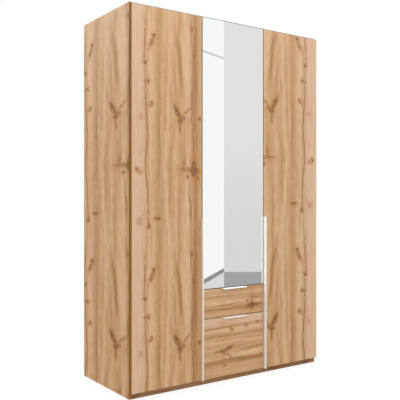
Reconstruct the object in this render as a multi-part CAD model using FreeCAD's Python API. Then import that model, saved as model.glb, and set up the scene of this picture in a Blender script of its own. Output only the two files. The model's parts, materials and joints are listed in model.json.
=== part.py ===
import FreeCAD, Part
import math
import os

from FreeCAD import Vector

# Three-door wardrobe: a mirror door over two drawers stands between two tall wooden doors.
# Millimetres. The origin is on the floor in the middle of the overall box.
# +X is to the right seen from the front, +Y is to the back and +Z is up.

# Overall
overall_width = 1350.0
overall_height = 2080.0
carcass_depth = 556.0

# Carcass boards
side_thickness = 16.0
partition_thickness = 16.0
shelf_thickness = 16.0
top_thickness = 22.0
bottom_thickness = 16.0
plinth_thickness = 16.0
plinth_height = 57.0
rear_plinth_inset = 84.0
board_edge_radius = 1.0
glide_height = 3.0
glide_radius = 7.5
glide_inset = 40.0

# Back
back_thickness = 3.0
back_inset = 10.0
back_rebate_depth = 8.0
back_clearance = 0.5
back_overlap = 14.0
joint_strip_width = 24.0
joint_strip_thickness = 2.0

# Fronts
front_thickness = 20.0
front_stand_off = 4.0
front_gap = 4.0
front_side_inset = 4.0
front_edge_radius = 1.2
door_top_inset = 12.0
door_bottom = 36.0
lower_front_height = 337.0
upper_front_height = 163.0
mirror_thickness = 4.0
mirror_edge_bevel = 0.8

# Handles: a thin fin let into the edge of a front, with a small lip at its tip
handle_projection = 20.0
handle_fin_thickness = 3.0
handle_lip_width = 6.0
handle_lip_thickness = 2.5
handle_back_clearance = 0.5
door_handle_length = 909.0
drawer_handle_length = 165.0

# Hinges: the pin stands inside the cup, near the hinge edge of the door
hinge_count = 4
hinge_end_distance = 110.0
pivot_from_edge = 9.0
pivot_from_back = 11.5
pin_radius = 1.25
pin_clearance = 0.05
knuckle_radius = 2.1
cup_from_edge = 21.5
cup_radius = 17.5
cup_wall = 1.0
cup_floor_clearance = 0.3
cup_floor_thickness = 0.8
cup_hole_clearance = 0.1
cup_flange_thickness = 1.2
cup_flange_reach = 12.0
cup_flange_half_height = 31.0
cup_screw_spacing = 48.0
cup_screw_offset = 6.0
screw_head_radius = 3.4
screw_head_height = 1.0
arm_thickness = 3.0
arm_half_height = 5.0
arm_offset = 14.0
arm_reach = 68.0
plate_from_front = 37.0
plate_length = 46.0
plate_thickness = 2.5
plate_half_height = 7.0
wing_half_height = 23.0
wing_length = 14.0
wing_screw_distance = 16.0

# Drawers
drawer_board = 12.0
drawer_length = 450.0
drawer_bottom_thickness = 3.0
drawer_bottom_height = 10.0
drawer_groove_depth = 5.0
drawer_groove_clearance = 0.2
upper_box_height = 120.0
lower_box_height = 250.0
lower_box_lift = 16.0
upper_box_lift = 15.0

# Drawer runners
runner_gap = 13.0
rail_thickness = 1.2
track_width = 10.5
track_lip_width = 8.0
track_drop = 8.0
runner_front_inset = 2.0
runner_plate_height = 35.0
track_lip_setback = 40.0
roller_radius = 11.0
roller_width = 7.0
roller_side_gap = 3.0
roller_clearance = 0.05
roller_head_gap = 0.1
roller_head_thickness = 0.7
roller_head_radius = 3.5
axle_radius = 2.0
axle_clearance = 0.05
track_play = 0.95
front_roller_setback = 16.0
rear_roller_setback = 12.0
running_flange_start = 5.0
drawer_rail_height = 25.2

# Inside fittings
shelf_play = 1.0
shelf_front_setback = 30.0
shelf_back_gap = 2.0
middle_shelf_count = 3
right_shelf_count = 4
pin_hole_depth = 7.0
pin_hole_clearance = 0.1
pin_hole_pitch = 32.0
pin_row_inset = 50.0
shelf_pin_radius = 2.5
shelf_pin_reach = 9.0
shelf_pin_collar_radius = 4.0
shelf_pin_collar_thickness = 1.0
top_space_height = 282.0
rail_radius = 12.5
rail_wall = 1.2
rail_drop = 52.0
rail_support_radius = 20.0
rail_support_flange = 2.0
rail_support_depth = 12.0
rail_support_wall = 3.0
rail_clearance = 0.1

# Panel fittings
fitting_axis_depth = 8.0
cam_radius = 7.5
cam_height = 12.5
cam_distance = 24.0
cam_clearance = 0.1
bolt_thread_radius = 2.5
bolt_thread_length = 10.0
bolt_shank_radius = 3.0
bolt_bore_radius = 3.6
dowel_radius = 4.0
dowel_clearance = 0.05
dowel_depth_face = 11.0
dowel_depth_end = 22.0
cam_row_inset = 55.0
dowel_row_inset = 105.0

# Wall brackets and bumpers
bracket_width = 24.0
bracket_thickness = 2.0
bracket_top_leg = 36.0
bracket_back_leg = 40.0
bracket_hole_radius = 4.0
bracket_hole_drop = 24.0
bumper_radius = 2.5
bumper_height = 3.5
bumper_from_edge = 24.0
drawer_bumper_spacing = 300.0

# How far a cutting block reaches past the face that it cuts
overcut = 1.0

# Planes worked out from the sizes above
half_width = overall_width / 2
overall_depth = handle_projection + front_thickness + front_stand_off + carcass_depth
rear_face = overall_depth / 2
carcass_front = rear_face - carcass_depth
front_back_face = carcass_front - front_stand_off
front_face = front_back_face - front_thickness
handle_tip = front_face - handle_projection
back_panel_face = rear_face - back_inset
rear_plinth_face = back_panel_face - rear_plinth_inset
side_inner = half_width - side_thickness
bottom_underside = glide_height + plinth_height
floor_board_top = bottom_underside + bottom_thickness
top_underside = overall_height - top_thickness
front_width = (overall_width - 2 * front_side_inset - 2 * front_gap) / 3
middle_front_half = front_width / 2
side_front_inner = middle_front_half + front_gap
side_front_outer = half_width - front_side_inset
partition_centre = middle_front_half + front_gap / 2
partition_inner = partition_centre - partition_thickness / 2
partition_outer = partition_centre + partition_thickness / 2
door_top = overall_height - door_top_inset
lower_front_top = door_bottom + lower_front_height
upper_front_bottom = lower_front_top + front_gap
upper_front_top = upper_front_bottom + upper_front_height
mirror_door_bottom = upper_front_top + front_gap
cover_shelf_bottom = upper_front_top + front_gap / 2 - shelf_thickness / 2
cover_shelf_top = cover_shelf_bottom + shelf_thickness
top_shelf_bottom = top_underside - top_space_height - shelf_thickness
hanging_rail_height = top_shelf_bottom - rail_drop
middle_depth = (carcass_front + back_panel_face) / 2
shelf_front = carcass_front + shelf_front_setback
shelf_back = back_panel_face - shelf_back_gap
pivot_y = front_back_face - pivot_from_back
drawer_half = partition_inner - runner_gap
drawer_back_y = front_back_face + drawer_length
lower_box_bottom = floor_board_top + lower_box_lift
upper_box_bottom = upper_front_bottom + upper_box_lift
runner_front = carcass_front + runner_front_inset

X = Vector(1, 0, 0)
Y = Vector(0, 1, 0)
Z = Vector(0, 0, 1)


def box(x_range, y_range, z_range):
    """A block between two values on each axis, given in either order."""
    low = Vector(min(x_range), min(y_range), min(z_range))
    high = Vector(max(x_range), max(y_range), max(z_range))
    size = high - low
    return Part.makeBox(size.x, size.y, size.z, low)


def eased_box(x_range, y_range, z_range, radius):
    """A board whose edges are all slightly rounded."""
    board = box(x_range, y_range, z_range)
    return board.makeFillet(radius, board.Edges)


def rod(radius, length, start, direction):
    return Part.makeCylinder(radius, length, start, direction)


def union(shapes):
    joined = shapes[0].fuse(shapes[1:])
    return joined.removeSplitter()


def cut(shape, tools):
    return shape.cut(Part.makeCompound(tools)) if tools else shape


def write(node, solids):
    """Write the solids of one node as one STEP file."""
    shape = solids[0] if len(solids) == 1 else Part.makeCompound(solids)
    shape.exportStep("parts/" + node + ".step")


def evenly(first, last, count):
    step = (last - first) / (count - 1)
    return [first + step * index for index in range(count)]


class PanelJoints:
    """Cam fittings and dowels between board ends and board faces, and the holes that they need."""

    def __init__(self):
        self.cams = []
        self.bolts = []
        self.dowels = []
        self.holes = {}

    def drill(self, node, tool):
        self.holes.setdefault(node, []).append(tool)

    def cam_fitting(self, face_node, end_node, point, inward, cam_side):
        """A bolt in the face of one board is held by a cam in the end of another.

        point is on the joint plane, inward points into the board with the cam, and cam_side
        points out of the face through which the cam is pressed in.
        """
        cam_mouth = point + inward * cam_distance + cam_side * fitting_axis_depth
        cam = rod(cam_radius, cam_height, cam_mouth, -cam_side)
        bolt_bore = rod(bolt_bore_radius, cam_distance, point, inward)
        self.cams.append(cam.cut(bolt_bore))
        thread = rod(bolt_thread_radius, bolt_thread_length, point, -inward)
        shank = rod(bolt_shank_radius, cam_distance - cam_clearance, point, inward)
        self.bolts.append(thread.fuse(shank))
        self.drill(face_node, thread)
        self.drill(end_node, rod(cam_radius + cam_clearance, cam_height, cam_mouth, -cam_side))
        self.drill(end_node, bolt_bore)

    def dowel(self, face_node, end_node, point, inward):
        self.dowels.append(rod(dowel_radius, dowel_depth_face + dowel_depth_end,
                               point - inward * dowel_depth_face, inward))
        hole_radius = dowel_radius + dowel_clearance
        self.drill(face_node, rod(hole_radius, dowel_depth_face, point, -inward))
        self.drill(end_node, rod(hole_radius, dowel_depth_end, point, inward))

    def board_joint(self, face_node, end_node, plane_point, inward, cam_side):
        """Two cam fittings and two dowels along the depth of the carcass."""
        for sign, end in ((1, carcass_front), (-1, back_panel_face)):
            at_cam = Vector(plane_point.x, end + sign * cam_row_inset, plane_point.z)
            self.cam_fitting(face_node, end_node, at_cam, inward, cam_side)
            at_dowel = Vector(plane_point.x, end + sign * dowel_row_inset, plane_point.z)
            self.dowel(face_node, end_node, at_dowel, inward)

    def finish(self, node, board):
        return cut(board, self.holes.get(node, []))


def join_carcass(joints):
    """Place every fitting between the fixed boards."""
    top_axis = overall_height - fitting_axis_depth
    bottom_axis = bottom_underside + fitting_axis_depth
    cover_axis = cover_shelf_bottom + fitting_axis_depth
    hat_axis = top_shelf_bottom + shelf_thickness - fitting_axis_depth
    for side, sign in (("left", -1), ("right", 1)):
        panel = side + "_side_panel"
        partition = side + "_partition"
        inward = X * -sign
        joints.board_joint(panel, "top_panel", Vector(sign * side_inner, 0, top_axis), inward, Z)
        joints.board_joint(panel, "bottom_panel", Vector(sign * side_inner, 0, bottom_axis), inward, -Z)
        cam_face = sign * (partition_outer - fitting_axis_depth)
        joints.board_joint("top_panel", partition, Vector(cam_face, 0, top_underside), -Z, X * sign)
        joints.board_joint("bottom_panel", partition, Vector(cam_face, 0, floor_board_top), Z, X * sign)
        cover_end = Vector(sign * partition_inner, 0, cover_axis)
        joints.board_joint(partition, "drawer_cover_shelf", cover_end, inward, -Z)
        for plinth, face in (("front_plinth", carcass_front), ("rear_plinth", rear_plinth_face)):
            point = Vector(sign * side_inner, face + plinth_thickness / 2, glide_height + plinth_height / 2)
            joints.dowel(panel, plinth, point, inward)
    joints.board_joint("left_side_panel", "left_top_shelf", Vector(-side_inner, 0, hat_axis), X, Z)
    joints.board_joint("left_partition", "left_top_shelf", Vector(-partition_outer, 0, hat_axis), -X, Z)


def shelf_levels(bottom, top, count):
    """Undersides of shelves that share a compartment equally."""
    space = (top - bottom - count * shelf_thickness) / (count + 1)
    return [bottom + space + index * (space + shelf_thickness) for index in range(count)]


def shelf_compartments():
    """Left and right walls, their boards and the shelf undersides of each compartment with loose shelves."""
    middle_levels = shelf_levels(cover_shelf_top, top_underside, middle_shelf_count)
    right_levels = shelf_levels(floor_board_top, top_underside, right_shelf_count)
    return (
        ("middle", (-partition_inner, "left_partition"), (partition_inner, "right_partition"), middle_levels),
        ("right", (partition_outer, "right_partition"), (side_inner, "right_side_panel"), right_levels),
    )


def make_loose_shelves(joints):
    """Loose shelves, the pins that carry them and three pin holes for each place."""
    pins = []
    for name, left_wall, right_wall, levels in shelf_compartments():
        for number, level in enumerate(levels, 1):
            shelf = eased_box((left_wall[0] + shelf_play, right_wall[0] - shelf_play),
                              (shelf_front, shelf_back), (level, level + shelf_thickness), board_edge_radius)
            write(name + "_shelf_" + str(number), [shelf])
            for (wall_x, board), inward in ((left_wall, X), (right_wall, -X)):
                for y in (shelf_front + pin_row_inset, shelf_back - pin_row_inset):
                    mouth = Vector(wall_x, y, level - shelf_pin_radius)
                    pins.append(shelf_pin(mouth, inward))
                    for step in (-1, 0, 1):
                        joints.drill(board, rod(shelf_pin_radius + pin_hole_clearance, pin_hole_depth,
                                                mouth + Z * (step * pin_hole_pitch), -inward))
    write("shelf_pins", pins)


def shelf_pin(mouth, inward):
    stem = rod(shelf_pin_radius, pin_hole_depth + shelf_pin_reach, mouth - inward * pin_hole_depth, inward)
    collar = rod(shelf_pin_collar_radius, shelf_pin_collar_thickness, mouth, inward)
    # The collar stays under the shelf, so its top is cut level with the stem.
    width = shelf_pin_collar_radius + overcut
    above = box((mouth.x - width, mouth.x + width), (mouth.y - width, mouth.y + width),
                (mouth.z + shelf_pin_radius, mouth.z + width))
    return stem.fuse(collar).cut(above)


def make_carcass(joints):
    width = (-side_inner, side_inner)
    depth = (carcass_front, back_panel_face)
    for side, sign in (("left", -1), ("right", 1)):
        panel = eased_box((sign * side_inner, sign * half_width), (carcass_front, rear_face),
                          (glide_height, overall_height), board_edge_radius)
        rebate = box((sign * (side_inner - overcut), sign * (side_inner + back_rebate_depth)),
                     (back_panel_face, rear_face + overcut), (0, overall_height + overcut))
        joints.drill(side + "_side_panel", rebate)
        write(side + "_side_panel", [joints.finish(side + "_side_panel", panel)])
        partition = box((sign * partition_inner, sign * partition_outer), depth,
                        (floor_board_top, top_underside))
        write(side + "_partition", [joints.finish(side + "_partition", partition)])
    boards = {
        "top_panel": (width, depth, (top_underside, overall_height)),
        "bottom_panel": (width, depth, (bottom_underside, floor_board_top)),
        "front_plinth": (width, (carcass_front, carcass_front + plinth_thickness),
                         (glide_height, bottom_underside)),
        "rear_plinth": (width, (rear_plinth_face, rear_plinth_face + plinth_thickness),
                        (glide_height, bottom_underside)),
        "drawer_cover_shelf": ((-partition_inner, partition_inner), depth,
                               (cover_shelf_bottom, cover_shelf_top)),
        "left_top_shelf": ((-side_inner, -partition_outer), (shelf_front, back_panel_face),
                           (top_shelf_bottom, top_shelf_bottom + shelf_thickness)),
    }
    for node, ranges in boards.items():
        write(node, [joints.finish(node, box(*ranges))])
    write("cam_locks", joints.cams)
    write("cam_bolts", joints.bolts)
    write("wooden_dowels", joints.dowels)
    glides = []
    for sign in (-1, 1):
        side_middle = sign * (half_width - side_thickness / 2)
        for y in (carcass_front + glide_inset, rear_face - glide_inset):
            glides.append(rod(glide_radius, glide_height, Vector(side_middle, y, 0), Z))
        for face in (carcass_front, rear_plinth_face):
            foot = Vector(sign * partition_centre, face + plinth_thickness / 2, 0)
            glides.append(rod(glide_radius, glide_height, foot, Z))
    write("nail_glides", glides)


def bracket_centres():
    centre = (side_inner + partition_outer) / 2
    return (-centre, centre)


def bracket_hole(x):
    start = Vector(x, back_panel_face - bracket_thickness, top_underside - bracket_hole_drop)
    return rod(bracket_hole_radius, bracket_thickness + back_thickness, start, Y)


def make_back():
    """Three thin panels in the rebates of the sides, with strips over the joints between them."""
    y_range = (back_panel_face, back_panel_face + back_thickness)
    z_range = (floor_board_top - back_overlap, top_underside + back_overlap)
    outer = side_inner + back_rebate_depth - back_clearance
    seam = partition_centre + back_clearance
    panels = {
        "back_panel_left": (-outer, -seam),
        "back_panel_middle": (-seam + 2 * back_clearance, seam - 2 * back_clearance),
        "back_panel_right": (seam, outer),
    }
    holes = [bracket_hole(x) for x in bracket_centres()]
    for node, x_range in panels.items():
        write(node, [cut(box(x_range, y_range, z_range), holes)])
    strips = []
    rear = y_range[1]
    for sign in (-1, 1):
        middle = sign * partition_centre
        cap = box((middle - joint_strip_width / 2, middle + joint_strip_width / 2),
                  (rear, rear + joint_strip_thickness), z_range)
        web = box((middle - back_clearance, middle + back_clearance), (back_panel_face, rear), z_range)
        strips.append(union([cap, web]))
    write("back_joint_strips", strips)
    brackets = []
    for x in bracket_centres():
        x_range = (x - bracket_width / 2, x + bracket_width / 2)
        top_leg = box(x_range, (back_panel_face - bracket_top_leg, back_panel_face),
                      (top_underside - bracket_thickness, top_underside))
        back_leg = box(x_range, (back_panel_face - bracket_thickness, back_panel_face),
                       (top_underside - bracket_back_leg, top_underside))
        brackets.append(union([top_leg, back_leg]).cut(bracket_hole(x)))
    write("wall_fixing_brackets", brackets)


def make_hanging_rail():
    y = middle_depth
    start = -side_inner + rail_support_flange
    end = -partition_outer - rail_support_flange
    tube_start = Vector(start, y, hanging_rail_height)
    tube = rod(rail_radius, end - start, tube_start, X)
    bore = rod(rail_radius - rail_wall, end - start, tube_start, X)
    write("hanging_rail", [tube.cut(bore)])
    supports = []
    for wall_x, inward in ((-side_inner, X), (-partition_outer, -X)):
        centre = Vector(wall_x, y, hanging_rail_height)
        flange = rod(rail_support_radius, rail_support_flange, centre, inward)
        collar = rod(rail_radius + rail_clearance + rail_support_wall, rail_support_depth, centre, inward)
        socket = rod(rail_radius + rail_clearance, rail_support_depth,
                     centre + inward * rail_support_flange, inward)
        supports.append(flange.fuse(collar).cut(socket))
    write("rail_end_supports", supports)


class Hinge:
    """One concealed hinge.

    along is +1 where the door reaches to +X from its hinge edge and -1 where it reaches to -X.
    wall_x is the face of the board that carries the arm.
    """

    def __init__(self, edge_x, along, wall_x, z):
        self.along = along
        self.pivot_x = edge_x + along * pivot_from_edge
        self.cup_x = edge_x + along * cup_from_edge
        self.wall_x = wall_x
        self.z = z

    def block(self, across, y_range, half_height):
        """A block from one distance to another across the door, counted from the pin."""
        x_range = [self.pivot_x + self.along * value for value in across]
        return box(x_range, y_range, (self.z - half_height, self.z + half_height))

    def cup_axis(self, y):
        return Vector(self.cup_x, y, self.z)

    def cup_depth(self):
        return pivot_from_back + knuckle_radius + cup_floor_clearance + cup_floor_thickness

    def cup_hole(self):
        """The pocket for the cup in the back of the door."""
        return rod(cup_radius + cup_hole_clearance, self.cup_depth(), self.cup_axis(front_back_face), -Y)

    def cup(self):
        shell = rod(cup_radius, self.cup_depth(), self.cup_axis(front_back_face), -Y)
        flange_top = front_back_face + cup_flange_thickness
        rim = cup_from_edge - cup_radius - pivot_from_edge
        flange = self.block((rim, cup_from_edge - pivot_from_edge + cup_flange_reach),
                            (front_back_face, flange_top), cup_flange_half_height)
        upright = [edge for edge in flange.Edges
                   if abs(edge.Vertexes[0].Point.y - edge.Vertexes[1].Point.y) > cup_flange_thickness / 2]
        flange = flange.makeFillet(cup_flange_reach / 2, upright)
        heads = []
        for sign in (-1, 1):
            at = self.cup_axis(flange_top) + Vector(self.along * cup_screw_offset, 0,
                                                    sign * cup_screw_spacing / 2)
            heads.append(rod(screw_head_radius, screw_head_height, at, Y))
        inner_radius = cup_radius - cup_wall
        hollow = rod(inner_radius, self.cup_depth() - cup_floor_thickness + cup_flange_thickness,
                     self.cup_axis(flange_top), -Y)
        pin_half = math.sqrt(inner_radius ** 2 - (cup_from_edge - pivot_from_edge) ** 2)
        pin = rod(pin_radius, 2 * pin_half, Vector(self.pivot_x, pivot_y, self.z - pin_half), Z)
        return union([shell, flange] + heads).cut(hollow).fuse(pin)

    def arm(self):
        """Knuckle on the pin, crank out of the cup and the long arm over the mounting plate."""
        knuckle = rod(knuckle_radius, 2 * arm_half_height,
                      Vector(self.pivot_x, pivot_y, self.z - arm_half_height), Z)
        crank_half = arm_thickness / 2
        crank = self.block((0, arm_offset + arm_thickness), (pivot_y - crank_half, pivot_y + crank_half),
                           arm_half_height)
        reach = self.block((arm_offset, arm_offset + arm_thickness),
                           (pivot_y - crank_half, carcass_front + arm_reach), arm_half_height)
        cover = self.block((arm_offset, arm_offset + arm_thickness),
                           (carcass_front + arm_thickness, carcass_front + arm_reach), plate_half_height)
        bore = rod(pin_radius + pin_clearance, 2 * arm_half_height,
                   Vector(self.pivot_x, pivot_y, self.z - arm_half_height), Z)
        outer_x = self.pivot_x + self.along * (arm_offset + arm_thickness)
        middle = carcass_front + plate_from_front
        heads = []
        for y in (middle - wing_length, middle + wing_length):
            at = Vector(outer_x, y, self.z)
            heads.append(rod(screw_head_radius, screw_head_height, at, X * self.along))
        return union([knuckle, crank, reach, cover] + heads).cut(bore)

    def plate(self):
        """Mounting plate: two wings screwed to the board and a block that carries the arm."""
        wall = self.along * (self.wall_x - self.pivot_x)
        middle = carcass_front + plate_from_front
        length = (middle - plate_length / 2, middle + plate_length / 2)
        base = self.block((wall, wall + plate_thickness), length, plate_half_height)
        wings = self.block((wall, wall + plate_thickness),
                           (middle - wing_length / 2, middle + wing_length / 2), wing_half_height)
        block = self.block((wall, arm_offset), length, arm_half_height)
        heads = []
        wing_x = self.wall_x + self.along * plate_thickness
        for sign in (-1, 1):
            at = Vector(wing_x, middle, self.z + sign * wing_screw_distance)
            heads.append(rod(screw_head_radius, screw_head_height, at, X * self.along))
        return union([base, wings, block] + heads)


def door_hinges(name):
    """The hinges of one door, from the lowest to the highest."""
    edges = {
        "left": (-side_front_outer, 1, -side_inner, door_bottom),
        "mirror": (-middle_front_half, 1, -partition_inner, mirror_door_bottom),
        "right": (side_front_outer, -1, side_inner, door_bottom),
    }
    edge_x, along, wall_x, bottom = edges[name]
    levels = evenly(bottom + hinge_end_distance, door_top - hinge_end_distance, hinge_count)
    return [Hinge(edge_x, along, wall_x, z) for z in levels]


def upright_handle(edge_x, inward):
    """Tall fin in the free edge of a door. inward points from that edge into the door."""
    z_range = (door_bottom, door_bottom + door_handle_length)
    fin = box((edge_x, edge_x + inward * handle_fin_thickness),
              (handle_tip, front_back_face - handle_back_clearance), z_range)
    lip = box((edge_x, edge_x + inward * handle_lip_width),
              (handle_tip, handle_tip + handle_lip_thickness), z_range)
    return union([fin, lip])


def level_handle(top):
    """Short fin in the top edge of a drawer front."""
    x_range = (-drawer_handle_length / 2, drawer_handle_length / 2)
    fin = box(x_range, (handle_tip, front_back_face - handle_back_clearance),
              (top - handle_fin_thickness, top))
    lip = box(x_range, (handle_tip, handle_tip + handle_lip_thickness), (top - handle_lip_width, top))
    return union([fin, lip])


def make_doors():
    plates = []
    for name in ("left", "mirror", "right"):
        hinges = door_hinges(name)
        write(name + "_door_hinge_arms", [hinge.arm() for hinge in hinges])
        write(name + "_door_hinge_cups", [hinge.cup() for hinge in hinges])
        plates += [hinge.plate() for hinge in hinges]
    write("hinge_mounting_plates", plates)
    for name, sign in (("left", -1), ("right", 1)):
        inner = sign * side_front_inner
        board = eased_box((inner, sign * side_front_outer), (front_face, front_back_face),
                          (door_bottom, door_top), front_edge_radius)
        notch = box((inner - sign * overcut, inner + sign * handle_fin_thickness),
                    (front_face - overcut, front_back_face + overcut),
                    (door_bottom - overcut, door_bottom + door_handle_length))
        holes = [hinge.cup_hole() for hinge in door_hinges(name)]
        write(name + "_door_panel", [cut(board, holes + [notch])])
        write(name + "_door_handle", [upright_handle(inner, sign)])
    x_range = (-middle_front_half, middle_front_half)
    z_range = (mirror_door_bottom, door_top)
    mirror_back = front_face + mirror_thickness
    board = eased_box(x_range, (mirror_back, front_back_face), z_range, board_edge_radius)
    write("mirror_door_board", [cut(board, [hinge.cup_hole() for hinge in door_hinges("mirror")])])
    glass = box(x_range, (front_face, mirror_back), z_range)
    middle_y = front_face + mirror_thickness / 2
    rim = [edge for edge in glass.Edges if max(v.Point.y for v in edge.Vertexes) < middle_y]
    write("mirror_glass", [glass.makeChamfer(mirror_edge_bevel, rim)])


class Drawer:
    """One drawer box on two roller runners."""

    def __init__(self, name, front_range, box_bottom, box_height):
        self.name = name
        self.front_range = front_range
        self.bottom = box_bottom
        self.top = box_bottom + box_height

    def side_block(self, sign, gap_range, y_range, z_range):
        """A block beside the drawer, placed by its distance from the partition."""
        x_range = [sign * (partition_inner - value) for value in gap_range]
        return box(x_range, y_range, [self.bottom + value for value in z_range])

    def make_front(self):
        bottom, top = self.front_range
        x_range = (-middle_front_half, middle_front_half)
        front = eased_box(x_range, (front_face, front_back_face), (bottom, top), front_edge_radius)
        half = drawer_handle_length / 2
        notch = box((-half, half), (front_face - overcut, front_back_face + overcut),
                    (top - handle_fin_thickness, top + overcut))
        write(self.name + "_drawer_front", [front.cut(notch)])
        write(self.name + "_drawer_handle", [level_handle(top)])

    def make_box(self):
        y_range = (front_back_face, drawer_back_y)
        inner = drawer_half - drawer_board
        panel_bottom = self.bottom + drawer_bottom_height
        panel_top = panel_bottom + drawer_bottom_thickness
        groove = box((-inner - drawer_groove_depth, inner + drawer_groove_depth),
                     (y_range[0] - overcut, y_range[1] + overcut), (panel_bottom, panel_top))
        sides = []
        for sign in (-1, 1):
            side = box((sign * inner, sign * drawer_half), y_range, (self.bottom, self.top))
            sides.append(side.cut(groove))
        write(self.name + "_drawer_sides", sides)
        bottom_half = inner + drawer_groove_depth - drawer_groove_clearance
        write(self.name + "_drawer_bottom", [box((-bottom_half, bottom_half), y_range,
                                                 (panel_bottom, panel_top))])
        write(self.name + "_drawer_back", [box((-inner, inner), (drawer_back_y - drawer_board, drawer_back_y),
                                               (panel_top, self.top))])

    def track_bottom(self):
        return -track_drop + rail_thickness

    def rear_roller_height(self):
        return self.track_bottom() + roller_clearance + roller_radius

    def front_roller_height(self):
        return drawer_rail_height - 2 * rail_thickness - roller_clearance - roller_radius

    def axle_point(self, sign, gap, y, height):
        return Vector(sign * (partition_inner - gap), y, self.bottom + height)

    def cabinet_runners(self):
        """Channel rails on the partitions, each with a roller axle at its front end."""
        y_range = (runner_front, runner_front + drawer_length)
        low = -track_drop
        channel_top = self.track_bottom() + 2 * roller_radius + track_play + roller_clearance
        rails = []
        for sign in (-1, 1):
            plate = self.side_block(sign, (0, rail_thickness), y_range, (low, low + runner_plate_height))
            track = self.side_block(sign, (0, track_width), y_range, (low, self.track_bottom()))
            lip = self.side_block(sign, (0, track_lip_width), (runner_front + track_lip_setback, y_range[1]),
                                  (channel_top, channel_top + rail_thickness))
            y = runner_front + front_roller_setback
            height = self.front_roller_height()
            roller_end = roller_side_gap + roller_width + roller_head_gap
            axle = rod(axle_radius, roller_end, self.axle_point(sign, 0, y, height), X * -sign)
            head = rod(roller_head_radius, roller_head_thickness,
                       self.axle_point(sign, roller_end, y, height), X * -sign)
            spacer = rod(roller_head_radius, roller_side_gap - roller_head_gap,
                         self.axle_point(sign, 0, y, height), X * -sign)
            rails.append(union([plate, track, lip, axle, head, spacer]))
        return rails

    def make_drawer_rails(self):
        """Angle rails under the drawer sides: a running flange in front and a roller axle at the back."""
        y_range = (front_back_face, drawer_back_y)
        inner_gap = runner_gap - rail_thickness
        flange_bottom = drawer_rail_height - 2 * rail_thickness
        rails = []
        for sign in (-1, 1):
            plate = self.side_block(sign, (inner_gap, runner_gap), y_range,
                                    (-rail_thickness, flange_bottom + rail_thickness))
            foot = self.side_block(sign, (inner_gap, runner_gap + drawer_board), y_range,
                                   (-rail_thickness, 0))
            flange = self.side_block(sign, (running_flange_start, runner_gap), y_range,
                                     (flange_bottom, flange_bottom + rail_thickness))
            y = drawer_back_y - rear_roller_setback
            height = self.rear_roller_height()
            head_start = roller_side_gap - roller_head_gap - roller_head_thickness
            roller_end = roller_side_gap + roller_width
            axle = rod(axle_radius, inner_gap - head_start, self.axle_point(sign, head_start, y, height),
                       X * -sign)
            head = rod(roller_head_radius, roller_head_thickness,
                       self.axle_point(sign, head_start, y, height), X * -sign)
            spacer_start = roller_end + roller_head_gap
            spacer = rod(roller_head_radius, inner_gap - spacer_start,
                         self.axle_point(sign, spacer_start, y, height), X * -sign)
            rails.append(union([plate, foot, flange, axle, head, spacer]))
        write(self.name + "_drawer_rails", rails)

    def make_rollers(self):
        places = {
            "front": (runner_front + front_roller_setback, self.front_roller_height()),
            "rear": (drawer_back_y - rear_roller_setback, self.rear_roller_height()),
        }
        for place, (y, height) in places.items():
            rollers = []
            for sign in (-1, 1):
                start = self.axle_point(sign, roller_side_gap, y, height)
                wheel = rod(roller_radius, roller_width, start, X * -sign)
                bore = rod(axle_radius + axle_clearance, roller_width, start, X * -sign)
                rollers.append(wheel.cut(bore))
            write(self.name + "_drawer_" + place + "_rollers", rollers)


def make_drawers():
    drawers = (
        Drawer("upper", (upper_front_bottom, upper_front_top), upper_box_bottom, upper_box_height),
        Drawer("lower", (door_bottom, lower_front_top), lower_box_bottom, lower_box_height),
    )
    rails = []
    for drawer in drawers:
        drawer.make_front()
        drawer.make_box()
        drawer.make_drawer_rails()
        drawer.make_rollers()
        rails += drawer.cabinet_runners()
    write("cabinet_runners", rails)


def make_bumpers():
    """Small soft buttons on the front edges of the carcass, behind each door and drawer front."""
    top_level = (top_underside + door_top) / 2
    bottom_level = (bottom_underside + floor_board_top) / 2
    mirror_level = (mirror_door_bottom + cover_shelf_top) / 2
    upper_level = (cover_shelf_bottom + upper_front_top) / 2
    side_x = side_front_inner + bumper_from_edge
    mirror_x = middle_front_half - bumper_from_edge
    half = drawer_bumper_spacing / 2
    places = [
        (-side_x, top_level), (-side_x, bottom_level), (side_x, top_level), (side_x, bottom_level),
        (mirror_x, top_level), (mirror_x, mirror_level),
        (-half, upper_level), (half, upper_level), (-half, bottom_level), (half, bottom_level),
    ]
    write("door_bumpers", [rod(bumper_radius, bumper_height, Vector(x, carcass_front, z), -Y)
                           for x, z in places])


def main():
    os.makedirs("parts", exist_ok=True)
    joints = PanelJoints()
    join_carcass(joints)
    make_loose_shelves(joints)
    make_carcass(joints)
    make_back()
    make_hanging_rail()
    make_doors()
    make_drawers()
    make_bumpers()


main()
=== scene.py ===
import json
import math

import bmesh
import bpy
from bpy.props import FloatProperty, FloatVectorProperty, PointerProperty
from mathutils import Matrix, Vector


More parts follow.
